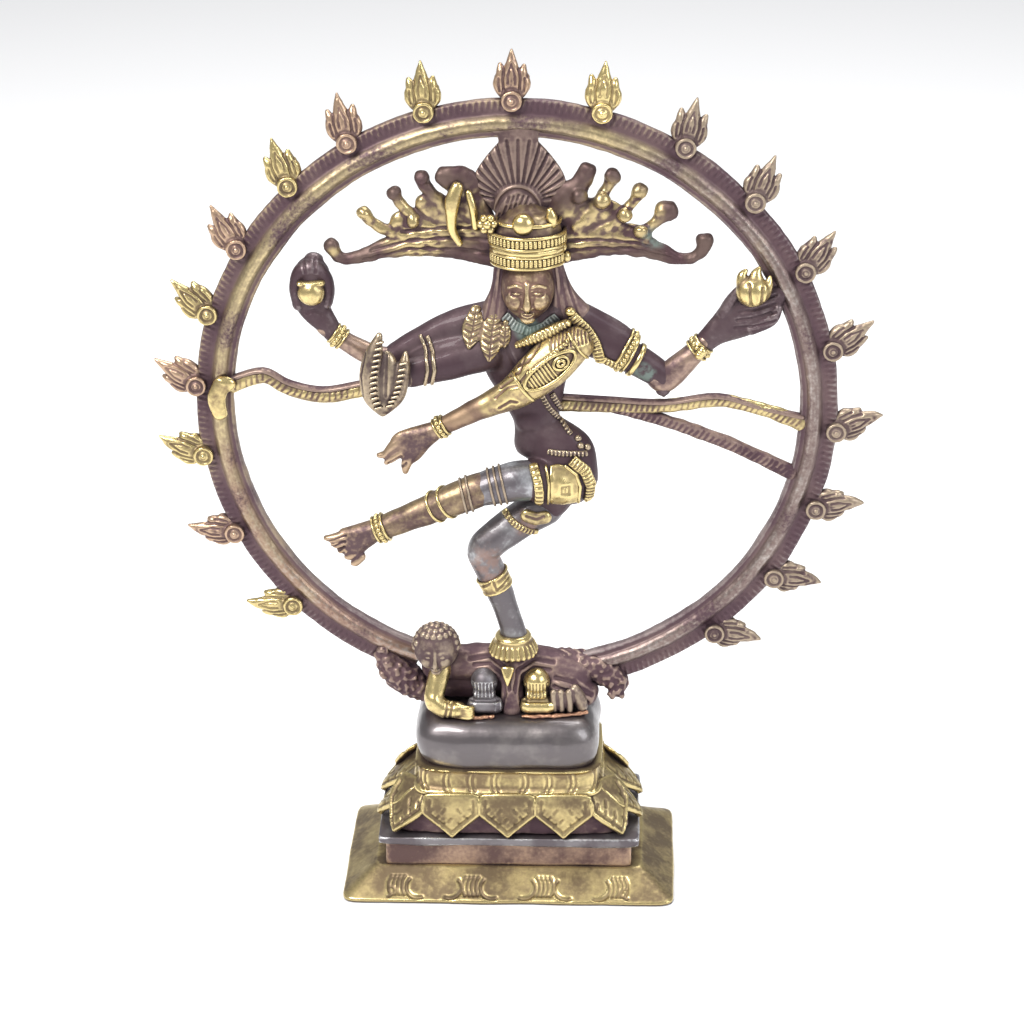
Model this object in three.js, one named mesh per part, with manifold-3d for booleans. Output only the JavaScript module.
// A brass nataraja: a four-armed dancer inside a ring of flames, standing on a dwarf
// who kneels on a cushion, on a lotus pedestal. Millimetres, +Z up, the front towards -Y,
// the origin in the middle of the foot's underside.
import * as THREE from 'three';
import { mergeVertices } from 'three/addons/utils/BufferGeometryUtils.js';
import Module from 'manifold-3d';

const wasm = await Module();
wasm.setup();

// ---- Driving dimensions --------------------------------------------------------------

const GAP = 0.3; // left between two pieces that touch

const FOOT_WIDTH = 92;
const FOOT_DEPTH = 52;
const FOOT_LIP = 1.2; // upright edge under the slope
const FOOT_HEIGHT = 7.2;
const FOOT_SLOPE = 9; // how far the slope runs in
const DADO_HEIGHT = 6.5;
const DADO_REVEAL = 2; // how far the dado stands back from the slab
const SLAB_HEIGHT = 2.5;
const SLAB_MARGIN_X = 9; // from the foot's edge to the slab's edge
const SLAB_MARGIN_Y = 7.5;
const TIERS_SHIFT = -0.8; // the tiers and the dwarf sit a little left of the foot's centre

const PETAL_HEIGHT = 12;
const PETAL_LEDGE = 0.8; // from the petal tips to the slab's edge
const PETAL_COUNT = 14;
const PETAL_SCALLOP = 1.6; // depth of the notch between two petals
const COLLAR_WIDTH = 50;
const COLLAR_DEPTH = 31;
const COLLAR_HEIGHT = 7.2;
const COLLAR_FLARE = 2.5; // how much wider the collar is at its foot
const CUSHION_WIDTH = 52.5;
const CUSHION_DEPTH = 33;
const CUSHION_HEIGHT = 14.2;

const DWARF_HEIGHT = 17.2; // from the cushion to the back that the dancer stands on
const RING_INNER = 75; // radius
const RING_BAND = 10; // from the inner lip to the outer edge
const RING_RIB = 4.2; // width of the thick rib
const RING_LIP = 1.6; // width of the thin lip inside the rib
const RING_THICKNESS = 5.6;
const FLANGE_THICKNESS = 2.6;
const RING_CLEARANCE = 2; // from the cushion to the ring's lowest line
const RING_SHIFT = 2.9; // the ring's centre sits to the right of the foot's centre
const RING_SETBACK = 0.8;
const RING_FOOT_X = 27; // where the ring's two ends are cut, from the middle
const LOBE_SIZE = [6.4, 4.8, 7]; // half sizes of the lumps that hold the ring's ends
const LOBE_RISE = 4.4; // from the cushion to a lump's middle

const FLAMES_A_SIDE = 9; // and one more at the top
// Where the flames stand, in degrees from the top. The left side was spaced by eye.
const LEFT_FLAMES = [15.3, 29.8, 43, 58, 71.6, 85.5, 99.2, 115.5, 133.4];
const RIGHT_PITCH = 15.65;
const FLAME_LEANS = [0, 12, 19, 25, 28, 25, 27, 29, 30, 43]; // degrees towards the top
const FLAME_LENGTH = 12.9; // from the boss to the tip
const FLAME_WIDTH = 10.4;
const FLAME_THICKNESS = 3.6;
const BOSS_RADIUS = 2.7;
const BOSS_THICKNESS = 1.7;

const STAND_X = 2.2; // the dancer's foot
const DANCER_HEIGHT = 144.6; // from the dwarf's back to the ring, at the dancer's own scale
const WING_CENTRE_X = 2.1;
const WING_THICKNESS = 4.4;
const SCARF_WIDTH = 3.5;
const SCARF_THICKNESS = 3;

// ---- Heights and places that follow from them ----------------------------------------

const dadoZ = FOOT_HEIGHT + GAP;
const slabZ = dadoZ + DADO_HEIGHT + GAP;
const petalZ = slabZ + SLAB_HEIGHT + GAP;
const collarZ = petalZ + PETAL_HEIGHT + GAP;
const cushionZ = collarZ + COLLAR_HEIGHT + GAP;
const dwarfZ = cushionZ + CUSHION_HEIGHT + GAP;
const standZ = dwarfZ + DWARF_HEIGHT;

const slabWidth = FOOT_WIDTH - 2 * SLAB_MARGIN_X;
const slabDepth = FOOT_DEPTH - 2 * SLAB_MARGIN_Y;
const ringOuter = RING_INNER + RING_BAND;
const ringZ = cushionZ + CUSHION_HEIGHT + RING_CLEARANCE + ringOuter;
const dancerScale = (ringZ + RING_INNER - standZ) / DANCER_HEIGHT;

// ---- Materials -----------------------------------------------------------------------

const metal = (color, roughness) => new THREE.MeshStandardMaterial({ color, roughness, metalness: 1 });
const finishes = {
  brass: () => metal(0xb59a4e, 0.3),
  maroon: () => metal(0x5f4648, 0.5),
  bronze: () => metal(0x6d6668, 0.4),
  copper: () => metal(0x94705c, 0.4),
};

// ---- Shapes --------------------------------------------------------------------------

// A closed geometry as a solid that can be joined and cut.
function solid(geometry) {
  const bare = geometry.index ? geometry.toNonIndexed() : geometry.clone();
  for (const name of Object.keys(bare.attributes)) if (name !== 'position') bare.deleteAttribute(name);
  const merged = mergeVertices(bare, 1e-4);
  const triVerts = [];
  const index = merged.index.array;
  for (let i = 0; i < index.length; i += 3) {
    const [a, b, c] = index.slice(i, i + 3);
    if (a !== b && b !== c && c !== a) triVerts.push(a, b, c);
  }
  return new wasm.Manifold(new wasm.Mesh({
    numProp: 3,
    vertProperties: new Float32Array(merged.attributes.position.array),
    triVerts: new Uint32Array(triVerts),
  }));
}

// A solid's surface as a geometry with flat faces.
function surface(body) {
  const { numProp, vertProperties, triVerts } = body.getMesh();
  const points = [];
  for (const v of triVerts) {
    for (let i = 0; i < 3; i += 1) points.push(vertProperties[v * numProp + i]);
  }
  const geometry = new THREE.BufferGeometry();
  geometry.setAttribute('position', new THREE.Float32BufferAttribute(points, 3));
  geometry.computeVertexNormals();
  return geometry;
}

// A limb: a cylinder laid along a smooth curve that stays near the XZ plane. Each station
// is [x, y, z, half width, half depth]; grow makes it that much fatter and longer.
function limb(stations, grow = 0, sides = 8, steps = 5) {
  const path = new THREE.CatmullRomCurve3(stations.map((s) => new THREE.Vector3(s[0], s[1], s[2])));
  const size = new THREE.CatmullRomCurve3(stations.map((s) => new THREE.Vector3(s[3], s[4], 0)));
  const tube = new THREE.CylinderGeometry(1, 1, 1, sides, steps);
  const position = tube.attributes.position;
  const toBack = new THREE.Vector3(0, 1, 0);
  const point = new THREE.Vector3();
  for (let i = 0; i < position.count; i += 1) {
    const along = Math.min(Math.max(0.5 + position.getY(i), 0), 1);
    const tangent = path.getTangent(along);
    const across = new THREE.Vector3().crossVectors(tangent, toBack).normalize();
    const deep = new THREE.Vector3().crossVectors(across, tangent);
    const half = size.getPoint(along);
    path.getPoint(along, point);
    if (along === 0) point.addScaledVector(tangent, -grow);
    if (along === 1) point.addScaledVector(tangent, grow);
    point.addScaledVector(across, position.getX(i) * (half.x + grow));
    point.addScaledVector(deep, position.getZ(i) * (half.y + grow));
    position.setXYZ(i, point.x, point.y, point.z);
  }
  return solid(tube);
}

// A rounded lump.
function lump([x, y, z], [halfX, halfY, halfZ], grow = 0, sides = 12, rings = 8) {
  const ball = new THREE.SphereGeometry(1, sides, rings);
  ball.rotateX(Math.PI / 2);
  ball.scale(halfX + grow, halfY + grow, halfZ + grow);
  ball.translate(x, y, z);
  return solid(ball);
}

// A flat plate cut to an outline in the XZ plane, from front to back.
function plate(outline, front, back, grow = 0) {
  const shape = new THREE.Shape(outline.map(([x, z]) => new THREE.Vector2(x, z)));
  const slab = new THREE.ExtrudeGeometry(shape, { depth: back - front + 2 * grow, bevelEnabled: false });
  slab.rotateX(Math.PI / 2);
  slab.translate(0, back + grow, 0);
  return solid(slab);
}

// A pedestal tier: a closed drum with an oval or rounded rectangular plan.
// Each level is [height, half width, half depth]; squareness 0.5 is an ellipse, less is squarer.
function tier(levels, squareness, sides = 40, edge = () => 1) {
  const profile = [[0, levels[0][0]], ...levels.map(([z]) => [1, z]), [0, levels.at(-1)[0]]];
  const drum = new THREE.LatheGeometry(profile.map(([r, z]) => new THREE.Vector2(r, z)), sides);
  const position = drum.attributes.position;
  const bend = (v) => Math.sign(v) * Math.abs(v) ** (2 * squareness);
  for (let i = 0; i < position.count; i += 1) {
    const [x, z, y] = [position.getX(i), position.getY(i), -position.getZ(i)];
    const level = levels.find((l) => Math.abs(l[0] - z) < 1e-4);
    const reach = edge(Math.atan2(y, x), z);
    position.setXYZ(i, TIERS_SHIFT + bend(x) * level[1] * reach, bend(y) * level[2] * reach, z);
  }
  return solid(drum);
}

function mesh(name, body, material) {
  const made = new THREE.Mesh(body.isBufferGeometry ? body : surface(body), material());
  made.name = name;
  return made;
}

// ---- Pedestal: stepped foot, lotus and cushion ---------------------------------------

function block(width, depth, z, height) {
  const box = new THREE.BoxGeometry(width, depth, height);
  box.translate(TIERS_SHIFT, 0, z + height / 2);
  return box;
}

function footPlinth() {
  const [halfX, halfY] = [FOOT_WIDTH / 2, FOOT_DEPTH / 2];
  const box = new THREE.BoxGeometry(1, 1, 1, 1, 1, 2);
  const position = box.attributes.position;
  for (let i = 0; i < position.count; i += 1) {
    const level = position.getZ(i);
    const inset = level > 0.25 ? FOOT_SLOPE : 0;
    const z = level < -0.25 ? 0 : level < 0.25 ? FOOT_LIP : FOOT_HEIGHT;
    position.setXYZ(i, Math.sign(position.getX(i)) * (halfX - inset),
      Math.sign(position.getY(i)) * (halfY - inset), z);
  }
  return surface(solid(box));
}

function lotusPetals() {
  const [wide, deep] = [slabWidth / 2 - PETAL_LEDGE, slabDepth / 2 - PETAL_LEDGE];
  const [neckX, neckY] = [COLLAR_WIDTH / 2 + COLLAR_FLARE, COLLAR_DEPTH / 2 + COLLAR_FLARE];
  const notch = (angle, z) => (z > petalZ + PETAL_HEIGHT / 2 ? 1
    : 1 - (PETAL_SCALLOP / wide) * (1 - Math.abs(Math.cos((angle * PETAL_COUNT) / 2))));
  return tier([
    [petalZ, wide, deep],
    [petalZ + PETAL_HEIGHT * 0.2, wide, deep],
    [petalZ + PETAL_HEIGHT * 0.6, (wide + neckX) / 2, (deep + neckY) / 2],
    [petalZ + PETAL_HEIGHT, neckX, neckY],
  ], 0.28, 4 * PETAL_COUNT, notch);
}

function lotusCollar() {
  const [topX, topY] = [COLLAR_WIDTH / 2, COLLAR_DEPTH / 2];
  return tier([
    [collarZ, topX + COLLAR_FLARE, topY + COLLAR_FLARE],
    [collarZ + COLLAR_HEIGHT * 0.5, topX + COLLAR_FLARE * 0.6, topY + COLLAR_FLARE * 0.6],
    [collarZ + COLLAR_HEIGHT, topX, topY],
  ], 0.3, 32);
}

function cushion(grow = 0) {
  const levels = [];
  const [halfX, halfY, halfZ] = [CUSHION_WIDTH / 2, CUSHION_DEPTH / 2, CUSHION_HEIGHT / 2];
  const sweep = THREE.MathUtils.degToRad(75);
  for (let i = 0; i <= 6; i += 1) {
    const turn = (i / 3 - 1) * sweep;
    const inset = halfZ * 0.75 * (1 - Math.cos(turn)) - grow;
    const z = ((halfZ + grow) * Math.sin(turn)) / Math.sin(sweep);
    levels.push([cushionZ + halfZ + z, halfX - inset, halfY - inset]);
  }
  return tier(levels, 0.3, 32);
}

const pedestal = new THREE.Group();
pedestal.add(
  mesh('foot_plinth', footPlinth(), finishes.brass),
  mesh(
    'dado',
    block(slabWidth - 2 * DADO_REVEAL, slabDepth - 2 * DADO_REVEAL, dadoZ, DADO_HEIGHT),
    finishes.copper,
  ),
  mesh('slab', block(slabWidth, slabDepth, slabZ, SLAB_HEIGHT), finishes.bronze),
  mesh('lotus_petals', lotusPetals(), finishes.brass),
  mesh('lotus_collar', lotusCollar(), finishes.brass),
  mesh('cushion', cushion(), finishes.bronze),
);

// ---- Ring of flames ------------------------------------------------------------------

// A turned ring with a thick rib between a thin outer flange and a thin inner lip.
function ringBlank(grow = 0) {
  const rib = RING_INNER + RING_LIP;
  const [thick, thin] = [RING_THICKNESS / 2 + grow, FLANGE_THICKNESS / 2 + grow];
  const half = [
    [RING_INNER - grow, thin],
    [rib - grow, thin],
    [rib + RING_RIB / 4 - grow / 2, thick],
    [rib + (RING_RIB * 3) / 4 + grow / 2, thick],
    [rib + RING_RIB + grow, thin],
    [ringOuter + grow, thin],
  ];
  const profile = [...half.map(([r, y]) => [r, -y]), ...half.reverse(), [half.at(-1)[0], -thin]];
  const blank = new THREE.LatheGeometry(profile.map(([r, y]) => new THREE.Vector2(r, y)), 56);
  return solid(blank);
}

// The ring is open below, between the two lobes beside the dwarf.
function ring(grow = 0) {
  const opening = new THREE.BoxGeometry(2 * (RING_FOOT_X - grow), 20, ringOuter);
  opening.translate(-RING_SHIFT, 0, -ringOuter);
  return ringBlank(grow).subtract(solid(opening));
}

// One flame seen from the front: five tongues above a boss that laps over the flange.
function flame() {
  const [half, tall] = [FLAME_WIDTH / 2, FLAME_LENGTH];
  const tongues = plate([
    [-half * 0.45, 0], [half * 0.45, 0],
    [half * 0.95, tall * 0.32], [half, tall * 0.55], [half * 0.72, tall * 0.5],
    [half * 0.68, tall * 0.8], [half * 0.34, tall * 0.76],
    [0, tall], [-half * 0.34, tall * 0.76],
    [-half * 0.68, tall * 0.8], [-half * 0.72, tall * 0.5],
    [-half, tall * 0.55], [-half * 0.95, tall * 0.32],
  ], -FLAME_THICKNESS / 2, FLAME_THICKNESS / 2);
  const bossBack = -FLANGE_THICKNESS / 2 - GAP;
  const boss = new THREE.CylinderGeometry(BOSS_RADIUS, BOSS_RADIUS, BOSS_THICKNESS, 10);
  boss.translate(0, bossBack - BOSS_THICKNESS / 2, 0);
  return tongues.add(solid(boss));
}

const flames = new THREE.Group();
flames.position.set(RING_SHIFT, RING_SETBACK, ringZ);
flames.add(mesh('flame_ring', ring(), finishes.maroon));

// A flame stands on the ring's outer edge, turned from its radius towards the top.
const flameBlank = flame();
const ringSpace = ringBlank(GAP);
function standFlame(name, step, side, material) {
  const around = side < 0 ? -LEFT_FLAMES[step - 1] : step * RIGHT_PITCH;
  const turn = around - side * FLAME_LEANS[step];
  const radius = THREE.MathUtils.degToRad(around);
  const [x, z] = [Math.sin(radius) * ringOuter, Math.cos(radius) * ringOuter];
  const body = flameBlank.subtract(ringSpace.translate([-x, 0, -z]).rotate([0, -turn, 0]));
  const tongue = mesh(name, body, material);
  tongue.position.set(x, 0, z);
  tongue.rotation.y = THREE.MathUtils.degToRad(turn);
  return tongue;
}

flames.add(standFlame('flame_top', 0, 1, finishes.copper));
for (let step = 1; step <= FLAMES_A_SIDE; step += 1) {
  const bright = step % 2 ? finishes.brass : finishes.copper;
  flames.add(standFlame(`flame_left_${step}`, step, -1, bright));
  flames.add(standFlame(`flame_right_${step}`, step, 1, step === 1 ? finishes.brass : finishes.bronze));
}

// ---- Dwarf, kneeling on the cushion --------------------------------------------------

// Heights here are from the cushion. The back is level with the dancer's foot.
const dwarf = new THREE.Group();
dwarf.position.set(TIERS_SHIFT, 0, dwarfZ);
const backTop = DWARF_HEIGHT - GAP;

const dwarfBack = (grow) => limb([
  [-20, -1, backTop - 7, 3.6, 4.4], [-13, -1, backTop - 5.6, 5, 4.8], [-4, -1, backTop - 5.4, 5.4, 5.8],
  [4, -1, backTop - 5.4, 5.4, 5.8], [14, -1, backTop - 7.2, 5.6, 5.6], [20, -1, backTop - 9.4, 5, 4.6],
], grow, 10).add(limb([
  [15, -3, 7.4, 4.6, 5], [19, -3, 4.6, 4.8, 5.4], [22, -3, 3.2, 3.8, 4.6],
], grow));
const dwarfHead = (grow) => lump([-18.5, -7, backTop + 2.2], [6.3, 6, 6.8], grow);
const dwarfArm = (grow) => limb([
  [-17.5, -6, backTop - 5, 3, 3], [-18.2, -9, 4.6, 2.8, 2.6], [-15, -11, 1.6, 2.6, 2.4],
  [-10, -11.5, 1.2, 2.4, 2.2],
], grow);
const dwarfShin = (x) => (grow) => limb([
  [x, -6.6, backTop - 5, 3.4, 3], [x, -9, backTop - 9, 3.6, 3.2], [x, -11, -1, 3.4, 2.8],
], grow);

function without(body, ...others) {
  return others.reduce((rest, other) => rest.subtract(other(GAP)), body(0));
}

// The cushion and the ring, moved into the dwarf's own space.
const cushionHere = (grow) => cushion(grow).translate([-TIERS_SHIFT, 0, -dwarfZ]);
const ringOverDwarf = (grow) => ring(grow)
  .translate([RING_SHIFT - TIERS_SHIFT, RING_SETBACK, ringZ - dwarfZ]);

// The lump beside the dwarf that one end of the ring runs into.
const lobe = (side) => (grow) => lump([side * RING_FOOT_X - TIERS_SHIFT, 0, LOBE_RISE], LOBE_SIZE, grow);

dwarf.add(
  mesh('dwarf_back', without(dwarfBack, cushionHere), finishes.maroon),
  mesh('dwarf_head', without(dwarfHead, dwarfBack), finishes.bronze),
  mesh('dwarf_arm', without(dwarfArm, dwarfBack, dwarfHead, cushionHere), finishes.brass),
  mesh('dwarf_left_shin', without(dwarfShin(-4.5), dwarfBack, dwarfArm, cushionHere), finishes.bronze),
  mesh('dwarf_right_shin', without(dwarfShin(8.8), dwarfBack, cushionHere), finishes.brass),
);
for (const [name, side] of [['ring_lobe_left', -1], ['ring_lobe_right', 1]]) {
  const clearLobe = without(lobe(side), dwarfBack, dwarfHead, cushionHere, ringOverDwarf);
  dwarf.add(mesh(name, clearLobe, finishes.maroon));
}

// ---- Dancer --------------------------------------------------------------------------

// Drawn at its own scale with the standing foot at the origin, then sized so that the
// crest reaches the top of the ring.
const dancer = new THREE.Group();
dancer.position.set(STAND_X, 0, standZ);
dancer.scale.setScalar(dancerScale);

// The ring, moved into the dancer's own space, to trim what runs up to it.
const ringHere = () => ringBlank(GAP)
  .translate([RING_SHIFT - STAND_X, RING_SETBACK, ringZ - standZ])
  .scale(1 / dancerScale);
// A direction from the ring's centre, in degrees from straight up, as a point on the rib.
function onRing(degrees) {
  const [turn, reach] = [THREE.MathUtils.degToRad(degrees), RING_INNER + RING_LIP];
  return [(RING_SHIFT - STAND_X + Math.sin(turn) * reach) / dancerScale, RING_SETBACK / dancerScale,
    (ringZ - standZ + Math.cos(turn) * reach) / dancerScale];
}

const torso = (grow) => limb([
  [6.3, -1, 60, 6.4, 4.8], [6.2, -1, 67, 6.4, 4.6], [5, -1, 76, 9.6, 5], [4, -1, 84, 12.4, 5.4],
  [4, -1, 91, 12.8, 5], [4, -0.4, 96, 11, 4.4], [4, 0.4, 102, 9.4, 3.6], [4, 0.6, 112, 9.8, 3.4],
], grow, 12, 11);
const hips = (grow) => limb([
  [8.6, -1.5, 64, 6, 5], [11.5, -2.5, 58, 9.4, 6.4], [13.4, -3, 50, 9.2, 7], [10.4, -3, 43.4, 7.6, 6],
  [7.6, -3, 40.6, 6, 4.6],
], grow, 12, 8);
const head = (grow) => lump([4.4, -4.2, 106.5], [8, 6.6, 10.2], grow);
const diadem = (grow) => limb([
  [4.4, -3.6, 113, 9.4, 7.6], [4.4, -3.4, 117, 10.4, 8], [4.2, -2.8, 121, 9, 7],
  [3.8, -2.2, 125, 7.4, 5.6], [3, -1.6, 128.6, 3, 3],
], grow, 12, 6);
const crest = (grow) => plate([
  [-3.5, 124], [7.5, 124], [14.6, 131.5], [13.5, 137], [7.5, 144], [5, 146.5], [0, 146.5], [-2.5, 144],
  [-8.5, 137], [-9.6, 131.5],
], -2.6, 1.6, grow);

// Each wing is a swept bar of hair with curling locks along its upper edge.
const LOCK_TIPS = [[47.6, 116], [38.2, 124], [30.4, 130.2], [23.4, 134.4], [17, 136]];
const wing = (side) => (grow) => {
  const x = (out) => WING_CENTRE_X + side * out;
  const half = WING_THICKNESS / 2;
  const bar = limb([
    [x(7), 1, 115, 6, half], [x(20), 1, 116.4, 5, half], [x(33), 1, 115, 3.4, half],
    [x(44.4), 1, 113, 2.4, half * 0.8],
  ], grow, 6);
  return LOCK_TIPS.reduce((all, [out, tip], i) => all.add(limb([
    [x(out * 0.62), 1, 116 + i, 3.4, half], [x(out * 0.9), 1, (tip + 113 + i) / 2, 2.4, half],
    [x(out), 1, tip, 1.9, half * 0.9],
  ], grow, 6, 2)), bar);
};

const drumUpperArm = (grow) => limb([
  [-5, 0, 95, 5.4, 4], [-17, 0, 91.2, 5.4, 4], [-30.6, 0, 84.2, 4.2, 3.4],
], grow);
const drumForearm = (grow) => limb([
  [-29.5, 0, 82.6, 3.6, 3.2], [-39, -0.5, 85.8, 2.8, 2.6], [-47, -1, 91.4, 2.5, 2.4],
], grow);
const drumHand = (grow) => limb([
  [-47, -1, 91.4, 2.8, 2.6], [-51.6, -1.5, 97, 4.4, 3.4], [-52.4, -1.5, 104, 5.4, 4],
  [-52.4, -1, 111.4, 3, 2.6],
], grow);
const palmArm = (grow) => limb([
  [-5, -4, 87, 4.6, 3], [-16, -5.6, 84.6, 4.4, 3], [-27, -7, 82.2, 4.2, 2.6],
], grow);
const palmHand = (grow) => limb([
  [-33.6, -9, 72.6, 2, 1.6], [-33, -9, 78, 5.4, 2.8], [-32.6, -9, 86, 5, 2.6], [-33.4, -9, 95, 1.6, 1.4],
], grow);
const swingUpperArm = (grow) => limb([
  [17, -5, 89, 4.6, 4], [10.4, -8, 84.8, 6, 4.4], [2, -9, 78.4, 5, 3.8],
], grow);
const swingForearm = (grow) => limb([
  [1.6, -9, 78.2, 4.4, 3.6], [-9, -8.8, 73, 3.3, 3], [-20.4, -8, 66.6, 2.3, 2.3],
], grow);
const swingHand = (grow) => limb([
  [-20.4, -8, 66.6, 2.6, 2.2], [-26, -8, 63.2, 4.6, 2.2],
  [-31.6, -8, 59.6, 4.6, 1.7], [-34.4, -8, 57.4, 2, 1.2],
], grow);
const flameUpperArm = (grow) => limb([
  [15, 0, 92, 5, 4], [27, 0, 86.4, 4.8, 4], [38.8, 0, 79.6, 3.8, 3.4],
], grow);
const flameForearm = (grow) => limb([
  [39, 0, 76, 2.4, 2.6], [42.4, 0, 80.8, 3.8, 3.2], [50.2, 0, 88.4, 2.7, 2.6],
], grow);
const flameHand = (grow) => limb([
  [50.2, 0, 88.4, 3, 2.6], [56.6, 0, 93.6, 5.4, 2.8], [64, 0, 98.6, 5.4, 2.8], [70, 0, 102.4, 3.4, 2.2],
], grow);
const heldFlame = (grow) => lump([62.4, -3.4, 105.2], [4.6, 4, 5.4], grow, 10, 7);

const standingThigh = (grow) => limb([
  [9, -3, 43, 6, 5.2], [1.4, -4.4, 38.8, 5.4, 4.8], [-7.6, -6, 32.8, 4.6, 4.4],
], grow);
const standingShin = (grow) => limb([
  [-7.8, -6, 32.4, 4.4, 4.2], [-5.8, -5.4, 23.6, 4, 3.8], [-2.6, -4.6, 13, 3.4, 3.2],
  [-0.6, -4, 5.6, 3.6, 3.4], [0, -4, 0.2, 5.6, 5],
], grow);
const raisedThigh = (grow) => limb([
  [11, -6.4, 51.6, 6.2, 4.8], [0, -8.6, 52.4, 5.4, 4.6], [-11, -9.6, 49.6, 4.7, 4.2],
], grow);
const raisedShin = (grow) => limb([
  [-11.4, -9.6, 49.4, 4.5, 4], [-24, -10, 43.8, 3.8, 3.5], [-37, -10, 38.4, 3.4, 3.2],
], grow);
const raisedFoot = (grow) => limb([
  [-37, -10, 38.4, 3.6, 3.2], [-42, -10, 36, 5, 2.8], [-47.6, -10, 34.2, 4, 2],
], grow);

// A strip of cloth that blows from the waist out to the ring.
const scarf = (points) => (grow) => limb(points.map(([x, y, z]) => (
  [x, y, z, SCARF_WIDTH / 2, SCARF_THICKNESS / 2])), grow, 8, 10);
const scarfLeft = scarf([
  [-24, 0, 76], [-39, 0, 75], [-50, 0, 72.8], [-59, 0, 74.4], [-66, 0, 78.4], onRing(-85.5),
]);
const scarfRight = scarf([
  [9, -1, 71.4], [24, 0, 70.4], [40, 0, 69.7], [54, 0, 71.6], [66, 0, 68], onRing(93),
]);
const scarfLow = scarf([[26, 0, 69.4], [40, 0, 65.6], [54, 0, 60.6], [64, 0, 56.4], onRing(104)]);

const all = {
  torso: [torso, finishes.bronze],
  hips: [hips, finishes.brass, torso],
  head: [head, finishes.copper, torso],
  diadem: [diadem, finishes.brass, torso, head],
  fan_crest: [crest, finishes.bronze, diadem, ringHere],
  hair_wing_left: [wing(-1), finishes.brass, torso, head, diadem, crest],
  hair_wing_right: [wing(1), finishes.brass, torso, head, diadem, crest],
  drum_upper_arm: [drumUpperArm, finishes.maroon, torso],
  drum_forearm: [drumForearm, finishes.brass, drumUpperArm],
  drum_hand: [drumHand, finishes.bronze, drumForearm],
  palm_arm: [palmArm, finishes.bronze, torso, drumUpperArm],
  palm_hand: [palmHand, finishes.bronze, palmArm, drumUpperArm, drumForearm],
  swing_upper_arm: [swingUpperArm, finishes.brass, torso],
  swing_forearm: [swingForearm, finishes.brass, torso, palmArm, swingUpperArm],
  swing_hand: [swingHand, finishes.copper, swingForearm],
  flame_upper_arm: [flameUpperArm, finishes.maroon, torso, swingUpperArm],
  flame_forearm: [flameForearm, finishes.copper, flameUpperArm, scarfRight],
  flame_hand: [flameHand, finishes.bronze, flameForearm, ringHere],
  held_flame: [heldFlame, finishes.brass, flameHand, ringHere],
  standing_thigh: [standingThigh, finishes.bronze, hips],
  standing_shin: [standingShin, finishes.bronze, standingThigh],
  raised_thigh: [raisedThigh, finishes.bronze, hips, standingThigh],
  raised_shin: [raisedShin, finishes.brass, raisedThigh],
  raised_foot: [raisedFoot, finishes.copper, raisedShin],
  scarf_left: [scarfLeft, finishes.brass, palmArm, drumUpperArm, palmHand, ringHere],
  scarf_right: [scarfRight, finishes.brass, torso, hips, swingUpperArm, ringHere],
  scarf_low: [scarfLow, finishes.bronze, scarfRight, ringHere],
};
for (const [name, [body, material, ...neighbours]] of Object.entries(all)) {
  dancer.add(mesh(name, without(body, ...neighbours), material));
}

const nataraja = new THREE.Group();
nataraja.name = 'nataraja';
nataraja.add(pedestal, flames, dwarf, dancer);
export default nataraja;
